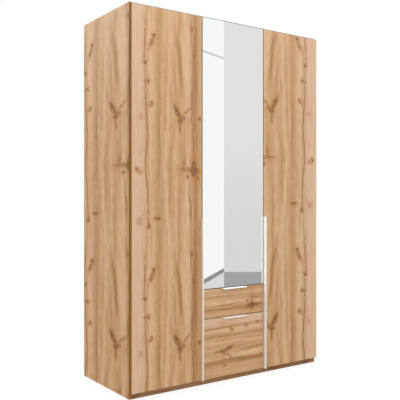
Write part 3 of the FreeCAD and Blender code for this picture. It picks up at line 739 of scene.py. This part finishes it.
class WARDROBE_OT_board_finishes(bpy.types.Operator):
    """Finish the back panels, drawer boards and dowels"""
    bl_idname = "wardrobe.board_finishes"
    bl_label = "Back panels and drawer boards"

    def execute(self, context):
        shade = colours()
        speckled_finish("hardboard", shade.hardboard_dark, shade.hardboard_light, stretch=(260, 260, 140),
                        sharpness=0.22, roughness=(0.55, 0.75), relief=0.0001)
        speckled_finish("drawer_board", shade.white_foil, shaded(shade.white_foil, 0.93),
                        stretch=(420, 420, 420), sharpness=0.3, roughness=(0.38, 0.48), relief=0.00003,
                        Specular_IOR_Level=0.2)
        speckled_finish("dowel_wood", (0.50, 0.33, 0.17), (0.62, 0.43, 0.24), stretch=(60, 500, 500),
                        sharpness=0.3, roughness=(0.6, 0.75), relief=0.0001)
        return {"FINISHED"}


class WARDROBE_OT_metal_finishes(bpy.types.Operator):
    """Finish the hinges, rail, runners and fittings"""
    bl_idname = "wardrobe.metal_finishes"
    bl_label = "Metal finishes"

    def execute(self, context):
        steel = colours().steel
        speckled_finish("hinge_steel", steel, shaded(steel, 1.2), stretch=(900, 90, 900), sharpness=0.3,
                        roughness=(0.24, 0.36), relief=0.00002, Metallic=1.0)
        speckled_finish("rail_steel", (0.74, 0.74, 0.76), (0.84, 0.84, 0.86), stretch=(30, 1200, 1200),
                        sharpness=0.35, roughness=(0.10, 0.20), relief=0.00001, Metallic=1.0)
        speckled_finish("zinc", (0.50, 0.51, 0.53), (0.64, 0.65, 0.67), stretch=(700, 700, 700),
                        sharpness=0.3, roughness=(0.34, 0.50), relief=0.00004, Metallic=1.0)
        speckled_finish("runner_enamel", (0.78, 0.78, 0.76), (0.84, 0.84, 0.82), stretch=(350, 350, 350),
                        sharpness=0.3, roughness=(0.30, 0.40), relief=0.00004)
        return {"FINISHED"}


class WARDROBE_OT_mirror(bpy.types.Operator):
    """Silver the mirror of the middle door"""
    bl_idname = "wardrobe.mirror"
    bl_label = "Mirror"

    glass_edge = (0.20, 0.30, 0.27)

    def execute(self, context):
        shade = colours().mirror
        material, wire = new_material("silvered glass")
        place = wire.place()
        film = wire.group(speckle_group(), {"Place": place, "Stretch": (3, 3, 3), "Detail": 2.0,
                                            "Sharpness": 0.4, "First": shade, "Second": shaded(shade, 0.985)})
        silvered = face_mask(wire, place, "mirror_glass", front)
        colour = wire.mix(silvered, self.glass_edge, film["Colour"])
        finish_material(wire, colour, 0.0, Metallic=1.0)
        dress("mirror_glass", material)
        return {"FINISHED"}


def islands(node):
    """The box of each separate solid of a node of the frame."""
    shape = bmesh.new()
    shape.from_mesh(frame["nodes"][node].data)
    bmesh.ops.remove_doubles(shape, verts=shape.verts, dist=weld_distance)
    waiting = set(shape.verts)
    boxes = []
    while waiting:
        found = [waiting.pop()]
        for vertex in found:
            for edge in vertex.link_edges:
                other = edge.other_vert(vertex)
                if other in waiting:
                    waiting.discard(other)
                    found.append(other)
        low = Vector([min(vertex.co[axis] for vertex in found) for axis in range(3)])
        high = Vector([max(vertex.co[axis] for vertex in found) for axis in range(3)])
        boxes.append((low, high))
    shape.free()
    return sorted(boxes, key=lambda box: tuple(box[0]))


def new_piece(name, shape, material, slot, body, *replaced):
    """Turn a finished mesh into a piece that rides on a body."""
    bmesh.ops.recalc_face_normals(shape, faces=shape.faces)
    mesh = bpy.data.meshes.new(name)
    shape.to_mesh(mesh)
    shape.free()
    mesh.materials.append(material)
    piece = bpy.data.objects.new(name, mesh)
    bpy.context.scene.collection.objects.link(piece)
    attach(piece, body)
    if replaced:
        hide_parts(*replaced)
    return piece


def smooth_faces(shape, angle=math.radians(35)):
    """Shade a mesh smooth except at its sharp edges."""
    for face in shape.faces:
        face.smooth = True
    for edge in shape.edges:
        if len(edge.link_faces) == 2 and edge.calc_face_angle(0.0) > angle:
            edge.smooth = False


def turned(axis, centre):
    """The matrix that puts a shape made round Z on an axis at a centre."""
    return Matrix.Translation(centre) @ up.rotation_difference(axis).to_matrix().to_4x4()


def lathe(shape, outline, matrix, segments=32, closed=False):
    """Turn an outline of (radius, height) points round an axis. A radius of 0 closes the end."""
    rings = []
    for radius, height in outline:
        if radius == 0:
            rings.append([shape.verts.new(matrix @ Vector((0, 0, height)))])
            continue
        ring = []
        for step in range(segments):
            angle = 2 * math.pi * step / segments
            place = Vector((radius * math.cos(angle), radius * math.sin(angle), height))
            ring.append(shape.verts.new(matrix @ place))
        rings.append(ring)
    pairs = list(zip(rings, rings[1:]))
    if closed:
        pairs.append((rings[-1], rings[0]))
    for lower, upper in pairs:
        for step in range(segments):
            after = (step + 1) % segments
            corners = [lower[step % len(lower)], lower[after % len(lower)],
                       upper[after % len(upper)], upper[step % len(upper)]]
            shape.faces.new(list(dict.fromkeys(corners)))


def cross_recess(shape, ring, matrix, height, arm, half_width, depth):
    """Close a ring with a flat face that has a cross-shaped recess, narrower at its floor."""
    floor_share = 0.7
    outline = [(arm, half_width), (half_width, half_width), (half_width, arm)]
    corners = []
    for quarter in range(4):
        turn = Matrix.Rotation(quarter * math.pi / 2, 3, "Z")
        corners += [turn @ Vector((x, y, 0)) for x, y in outline]
    rim = [shape.verts.new(matrix @ (corner + up * height)) for corner in corners]
    floor = [shape.verts.new(matrix @ (corner * floor_share + up * (height - depth))) for corner in corners]
    edges = []
    for loop in (ring, rim):
        for first, second in zip(loop, loop[1:] + loop[:1]):
            edges.append(shape.edges.get((first, second)) or shape.edges.new((first, second)))
    bmesh.ops.triangle_fill(shape, edges=edges, use_beauty=True)
    for index in range(len(rim)):
        after = (index + 1) % len(rim)
        shape.faces.new((rim[index], rim[after], floor[after], floor[index]))
    shape.faces.new(floor)


def cross_head(shape, matrix, outline, arm, half_width, depth):
    """A turned head that ends in a flat face with a cross recess."""
    last = len(shape.verts) + head_segments * len(outline)
    lathe(shape, outline, matrix, head_segments)
    shape.verts.ensure_lookup_table()
    ring = [shape.verts[index] for index in range(last - head_segments, last)]
    cross_recess(shape, ring, matrix, outline[-1][1], arm, half_width, depth)


def screw(shape, seat, axis):
    """The domed head of one screw, standing on the flat head at seat."""
    radius = sizes().screw_head_radius
    height = sizes().screw_head_height
    outline = [(radius, -height), (radius, 0.0), (radius * 0.9, height * 0.6), (radius * 0.66, height)]
    cross_head(shape, turned(axis, seat), outline, radius * 0.5, radius * 0.13, height * 1.2)


class WARDROBE_OT_hinge_screws(bpy.types.Operator):
    """Put cross-head screws on the hinge cups, arms and mounting plates"""
    bl_idname = "wardrobe.hinge_screws"
    bl_label = "Hinge screws"

    cup_screw_from_rim = 0.0235
    cup_screw_half_spacing = 0.024
    arm_screw_half_spacing = 0.014
    plate_screw_half_spacing = 0.016
    plate_screw_top = 0.0035

    def execute(self, context):
        steel = bpy.data.materials["hinge_steel finish"]
        plates = islands("hinge_mounting_plates")
        doors = (("left", right), ("mirror", right), ("right", left))
        arm_screws = bmesh.new()
        for name, along in doors:
            cup_screws = bmesh.new()
            for low, high in islands(name + "_door_hinge_cups"):
                rim = low.x if along.x > 0 else high.x
                level = (low.z + high.z) / 2
                for offset in (-self.cup_screw_half_spacing, self.cup_screw_half_spacing):
                    seat = Vector((rim + along.x * self.cup_screw_from_rim, high.y, level + offset))
                    screw(cup_screws, seat, back)
            smooth_faces(cup_screws)
            new_piece(name + "_door_cup_screws", cup_screws, steel, "hinge_steel", name + "_door")
            for low, high in islands(name + "_door_hinge_arms"):
                plate_low, plate_high = min(plates, key=lambda box: (box[0] - low).length)
                face, wall = (high.x, plate_low.x) if along.x > 0 else (low.x, plate_high.x)
                middle = (plate_low.y + plate_high.y) / 2
                level = (low.z + high.z) / 2
                for offset in (-self.arm_screw_half_spacing, self.arm_screw_half_spacing):
                    screw(arm_screws, Vector((face, middle + offset, level)), along)
                for offset in (-self.plate_screw_half_spacing, self.plate_screw_half_spacing):
                    seat = Vector((wall + along.x * self.plate_screw_top, middle, level + offset))
                    screw(arm_screws, seat, along)
        smooth_faces(arm_screws)
        new_piece("hinge_arm_screws", arm_screws, steel, "hinge_steel", "carcass")
        return {"FINISHED"}


def edge_handle(name, body, run, outward_lip):
    """An angle handle: a fin along run with a lip at its tip, all edges softly rounded.

    Its box is read from the frame. outward_lip is the way the lip points.
    """
    low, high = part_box(name)
    fin_thickness = 0.003
    lip_thickness = 0.0025
    bevel_steps = 3
    tip, root = low.y, high.y
    fin_face = reach(name, -outward_lip)
    lip_end = reach(name, outward_lip)
    outline = [
        (-fin_face, tip), (lip_end, tip), (lip_end, tip + lip_thickness),
        (fin_thickness - fin_face, tip + lip_thickness), (fin_thickness - fin_face, root), (-fin_face, root),
    ]
    start = -reach(name, -run)
    end = reach(name, run)
    shape = bmesh.new()
    rings = []
    for place in (start, end):
        rings.append([shape.verts.new(outward_lip * side + back * y + run * place) for side, y in outline])
    shape.faces.new(rings[0])
    shape.faces.new(rings[1])
    for index in range(len(outline)):
        after = (index + 1) % len(outline)
        shape.faces.new((rings[0][index], rings[0][after], rings[1][after], rings[1][index]))
    bmesh.ops.recalc_face_normals(shape, faces=shape.faces)
    bmesh.ops.bevel(shape, geom=list(shape.edges), offset=sizes().handle_edge_radius,
                    segments=bevel_steps, profile=0.5, affect="EDGES")
    smooth_faces(shape)
    new_piece(name + "_profile", shape, bpy.data.materials["handle_metal finish"], "handle_metal", body, name)


class WARDROBE_OT_handles(bpy.types.Operator):
    """Make the four edge handles"""
    bl_idname = "wardrobe.handles"
    bl_label = "Edge handles"

    def execute(self, context):
        metal = colours().aluminium
        speckled_finish("handle_metal", shaded(metal, 0.96), metal, stretch=(1400, 1400, 40), sharpness=0.3,
                        roughness=(0.34, 0.44), relief=0.00001, Metallic=0.25)
        edge_handle("left_door_handle", "left_door", up, left)
        edge_handle("right_door_handle", "right_door", up, right)
        edge_handle("upper_drawer_handle", "upper_drawer", right, down)
        edge_handle("lower_drawer_handle", "lower_drawer", right, down)
        return {"FINISHED"}


class WARDROBE_OT_plastic_parts(bpy.types.Operator):
    """Make the drawer rollers and the door bumpers, and finish the other plastic parts"""
    bl_idname = "wardrobe.plastic_parts"
    bl_label = "Rollers, bumpers and glides"

    bore_radius = 0.00205
    hub_radius = 0.0045
    web_depth = 0.0008
    bumper_segments = 16

    def roller(self, shape, low, high):
        """A roller with a sunk web between hub and rim, the same on both faces."""
        radius = (high.z - low.z) / 2
        width = high.x - low.x
        edge = sizes().roller_edge
        rim = radius - 2 * edge
        near_half = [
            (self.bore_radius, 0.0), (self.hub_radius, 0.0), (self.hub_radius, self.web_depth),
            (rim, self.web_depth), (rim, 0.0), (radius - edge, 0.0),
            (radius - edge * 0.3, edge * 0.3), (radius, edge),
        ]
        far_half = [(way, width - height) for way, height in reversed(near_half)]
        middle = (low + high) / 2
        matrix = turned(right, Vector((low.x, middle.y, middle.z)))
        lathe(shape, near_half + far_half, matrix, closed=True)

    def bumper(self, shape, low, high):
        """A soft dome that stands on a board's front edge."""
        radius = (high.z - low.z) / 2
        length = high.y - low.y
        dome = length - 0.3 * radius
        outline = [
            (0, 0.0), (radius, 0.0), (radius, length - radius * 0.8), (radius * 0.9, dome - 0.15 * radius),
            (radius * 0.62, dome + 0.12 * radius), (0, length),
        ]
        middle = (low + high) / 2
        lathe(shape, outline, turned(front, Vector((middle.x, high.y, middle.z))), self.bumper_segments)

    def execute(self, context):
        plastic = speckled_finish("white_plastic", (0.80, 0.80, 0.78), (0.86, 0.86, 0.84),
                                  stretch=(500, 500, 500), sharpness=0.3, roughness=(0.36, 0.5),
                                  relief=0.00003)
        soft = speckled_finish("clear_soft", grey(0.62), grey(0.72), stretch=(900, 900, 900),
                               sharpness=0.3, roughness=(0.25, 0.4), relief=0.00002)
        for drawer in ("upper", "lower"):
            for end in ("front", "rear"):
                node = drawer + "_drawer_" + end + "_rollers"
                shape = bmesh.new()
                for low, high in islands(node):
                    self.roller(shape, low, high)
                smooth_faces(shape)
                new_piece(node + "_turned", shape, plastic, "white_plastic", node, node)
        shape = bmesh.new()
        for low, high in islands("door_bumpers"):
            self.bumper(shape, low, high)
        smooth_faces(shape)
        new_piece("soft_bumpers", shape, soft, "clear_soft", "carcass", "door_bumpers")
        return {"FINISHED"}


class WARDROBE_OT_cam_locks(bpy.types.Operator):
    """Make the cam locks with their cross recess"""
    bl_idname = "wardrobe.cam_locks"
    bl_label = "Cam locks"

    recess_below_face = 0.0002
    chamfer = 0.0005
    cross_depth = 0.003
    board_names = ("top_panel", "bottom_panel", "left_partition", "right_partition", "drawer_cover_shelf",
                   "left_top_shelf")

    def execute(self, context):
        shape = bmesh.new()
        boards = [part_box(name) for name in self.board_names]
        for low, high in islands("cam_locks"):
            size = high - low
            middle = (low + high) / 2
            axis_index = min(range(3), key=lambda index: size[index])
            axis = Vector([1.0 if index == axis_index else 0.0 for index in range(3)])
            board = min(boards, key=lambda box: self.gap(box, middle))
            if middle[axis_index] < (board[0] + board[1])[axis_index] / 2:
                axis = -axis
            radius = max(size) / 2
            depth = size[axis_index] - self.recess_below_face
            matrix = turned(axis, middle - axis * size[axis_index] / 2)
            rim = (radius, 0.0)
            lathe(shape, [(0, 0.0), rim], matrix, head_segments)
            side = [rim, (radius, depth - self.chamfer), (radius - self.chamfer, depth)]
            cross_head(shape, matrix, side, radius * 0.45, radius * 0.11, self.cross_depth)
        bmesh.ops.remove_doubles(shape, verts=shape.verts, dist=weld_distance)
        smooth_faces(shape)
        new_piece("cross_cam_locks", shape, bpy.data.materials["zinc finish"], "zinc", "carcass", "cam_locks")
        return {"FINISHED"}

    def gap(self, box, point):
        """How far a point is outside a box."""
        outside = [max(box[0][axis] - point[axis], 0.0, point[axis] - box[1][axis]) for axis in range(3)]
        return Vector(outside).length


def flat(name, corners, material, glossy_only=False):
    """A flat of the studio, which isn't part of the wardrobe."""
    mesh = bpy.data.meshes.new(name)
    mesh.from_pydata([tuple(corner) for corner in corners], [], [tuple(range(len(corners)))])
    mesh.materials.append(material)
    sheet = bpy.data.objects.new(name, mesh)
    bpy.context.scene.collection.objects.link(sheet)
    if glossy_only:
        sheet.visible_camera = False
        sheet.visible_diffuse = False
        sheet.visible_shadow = False
        sheet.visible_transmission = False
    return sheet


def glow(name, low_grey, high_grey, bottom=0.0, top=1.0):
    """A plain light surface that changes from one brightness to another with height."""
    material, wire = new_material(name)
    height = wire.add("SeparateXYZ", {0: wire.place()}).outputs["Z"]
    colour = wire.mix(wire.smooth(height, bottom, top), grey(low_grey), grey(high_grey))
    emission = wire.add("Emission", {"Color": colour, "Strength": 1.0})
    wire.add("OutputMaterial", {"Surface": emission.outputs[0]})
    return material


class WARDROBE_OT_stage(bpy.types.Operator):
    """Set up the floor, the studio flats that the mirror shows, the light and the camera"""
    bl_idname = "wardrobe.stage"
    bl_label = "Stage, light and camera"

    camera_place = Vector((-2.255, -3.158, 1.050))
    camera_azimuth = math.radians(-35)
    focal_length = 56.7
    shift_y = -0.0025

    # The room that the mirror shows: the corner where its two walls meet, and which way its surfaces run.
    corner = Vector((3.225, -4.626, 0.0))
    white_wall_way = Vector((-0.744, 0.668, 0.0))
    grey_wall_way = Vector((0.819, 0.574, 0.0))
    floor_way = Vector((-0.604, 0.797, 0.0))

    # Lengths and heights of the room's surfaces, and the floor's light.
    white_wall_length = 2.0
    grey_wall_length = 2.5
    wall_top = 4.5
    in_front = 0.02
    skirting_height = 0.06
    joint_heights = (3.055, 3.08)
    joint_fall = 0.30
    floor_half_size = 30.0
    floor_flat_length = 3.0
    floor_flat_lift = 0.002
    floor_light = 0.83
    floor_light_mirrored = 0.42

    def wall(self, name, way, length, bottom, top, material, nearer=0.0, fall=0.0):
        """An upright flat from the corner of the room. fall is how far its far end is lower."""
        start = self.corner + self.floor_way * nearer
        end = start + way * length + down * fall
        corners = (start + up * bottom, end + up * bottom, end + up * top, start + up * top)
        flat(name, corners, material, glossy_only=True)

    def execute(self, context):
        self.floor()
        self.walls()
        self.floor_flats()
        self.world()
        self.camera()
        bpy.context.scene.view_settings.view_transform = "Standard"
        return {"FINISHED"}

    def floor(self):
        """The pale floor, which lights itself, less in the mirror and not at all in soft reflections."""
        material, wire = new_material("studio floor")
        tint = wire.group(speckle_group(), {"Place": wire.place(), "Stretch": (0.5, 0.5, 0.5), "Detail": 2.0,
                                            "Sharpness": 0.4, "First": grey(0.20), "Second": grey(0.21)})
        path = wire.add("LightPath").outputs
        mirrored = wire.math("MULTIPLY", path["Is Glossy Ray"], path["Is Singular Ray"])
        soft = wire.math("SUBTRACT", path["Is Glossy Ray"], mirrored)
        light = wire.mix(soft, grey(self.floor_light), grey(0.0))
        light = wire.mix(mirrored, light, grey(self.floor_light_mirrored))
        finish_material(wire, tint["Colour"], wire.spread(tint["Speckle"], 0.8, 0.85),
                        Specular_IOR_Level=0.0, Emission_Color=light, Emission_Strength=1.0)
        half = self.floor_half_size
        corners = [(-half, -half, 0), (half, -half, 0), (half, half, 0), (-half, half, 0)]
        flat("studio_floor", corners, material)

    def walls(self):
        """Two walls, their skirting and a joint, which only the mirror shows."""
        white = glow("white flat", 0.99, 1.0, top=3.0)
        pale = glow("grey flat", 0.72, 0.80, bottom=0.3, top=2.2)
        dark = glow("skirting", 0.28, 0.30, top=0.1)
        line = glow("joint", 0.62, 0.62, top=3.0)
        length = self.white_wall_length
        self.wall("white_flat", self.white_wall_way, length, 0.0, self.wall_top, white)
        self.wall("grey_flat", self.grey_wall_way, self.grey_wall_length, 0.0, self.wall_top, pale)
        self.wall("skirting_flat", self.white_wall_way, length, 0.0, self.skirting_height, dark,
                  nearer=self.in_front)
        self.wall("joint_flat", self.white_wall_way, length, *self.joint_heights, line,
                  nearer=self.in_front, fall=self.joint_fall)

    def floor_flats(self):
        """Two pieces of floor, which only the mirror shows."""
        grey_floor = glow("grey floor", 0.39, 0.39)
        pale_floor = glow("pale floor", 0.74, 0.74)
        first = self.corner + up * self.floor_flat_lift
        across = self.grey_wall_way * self.grey_wall_length
        towards = self.floor_way * self.floor_flat_length
        beside = self.white_wall_way * self.floor_flat_length
        corners = (first, first + across, first + across + towards, first + towards)
        flat("grey_floor_flat", corners, grey_floor, glossy_only=True)
        flat("pale_floor_flat", (first, first + towards, first + beside), pale_floor, glossy_only=True)

    def world(self):
        """Even white light, a cloudy room for the mirror, and a bright ceiling for soft reflections."""
        world = bpy.data.worlds.new("studio")
        bpy.context.scene.world = world
        world.use_nodes = True
        world.node_tree.nodes.clear()
        wire = Wiring(world.node_tree)
        direction = wire.add("TexCoord").outputs["Generated"]
        ways = wire.add("SeparateXYZ", {0: direction}).outputs
        clouds = wire.add("TexNoise", {"Vector": direction, "Scale": 1.6, "Detail": 1.0}).outputs["Fac"]
        room = wire.spread(clouds, 0.45, 0.95)
        ceiling = wire.mix(wire.smooth(ways["Z"], 0.0, 0.60), grey(0.1), grey(7.6, -0.03))
        one_side = wire.mix(wire.smooth(ways["X"], -0.7, 0.1), grey(0.45), grey(1.0))
        ceiling = wire.mix(1.0, ceiling, one_side, blend="MULTIPLY")
        path = wire.add("LightPath").outputs
        reflected = wire.mix(path["Is Singular Ray"], ceiling, room)
        even = wire.mix(path["Is Camera Ray"], grey(1.06), grey(1.0))
        colour = wire.mix(path["Is Glossy Ray"], even, reflected)
        background = wire.add("Background", {"Color": colour, "Strength": 1.0})
        wire.add("OutputWorld", {"Surface": background.outputs[0]})

    def camera(self):
        """A level camera."""
        lens = bpy.data.cameras.new("camera")
        lens.lens = self.focal_length
        lens.shift_y = self.shift_y
        camera = bpy.data.objects.new("camera", lens)
        camera.location = self.camera_place
        camera.rotation_euler = (math.pi / 2, 0.0, self.camera_azimuth)
        bpy.context.scene.collection.objects.link(camera)
        bpy.context.scene.camera = camera


operators = (
    WARDROBE_OT_oak_fronts, WARDROBE_OT_oak_sides, WARDROBE_OT_inner_boards, WARDROBE_OT_board_finishes,
    WARDROBE_OT_metal_finishes, WARDROBE_OT_mirror, WARDROBE_OT_handles, WARDROBE_OT_hinge_screws,
    WARDROBE_OT_plastic_parts, WARDROBE_OT_cam_locks, WARDROBE_OT_stage,
)


class WARDROBE_PT_panel(bpy.types.Panel):
    """Lists the sizes, colours and building steps of the wardrobe"""
    bl_idname = "WARDROBE_PT_panel"
    bl_label = "Wardrobe"
    bl_space_type = "VIEW_3D"
    bl_region_type = "UI"
    bl_category = "Wardrobe"

    def draw(self, context):
        for group in (context.scene.wardrobe_sizes, context.scene.wardrobe_colours):
            column = self.layout.column()
            for name in group.__annotations__:
                column.prop(group, name)
        for operator in operators:
            self.layout.operator(operator.bl_idname)


def register():
    for kind in (WardrobeSizes, WardrobeColours, *operators, WARDROBE_PT_panel):
        bpy.utils.register_class(kind)
    bpy.types.Scene.wardrobe_sizes = PointerProperty(type=WardrobeSizes)
    bpy.types.Scene.wardrobe_colours = PointerProperty(type=WardrobeColours)


def unregister():
    del bpy.types.Scene.wardrobe_sizes
    del bpy.types.Scene.wardrobe_colours
    for kind in (WARDROBE_PT_panel, *reversed(operators), WardrobeColours, WardrobeSizes):
        bpy.utils.unregister_class(kind)


def main():
    register()
    for operator in operators:
        area, name = operator.bl_idname.split(".")
        getattr(getattr(bpy.ops, area), name)()


if __name__ == "__main__":
    main()
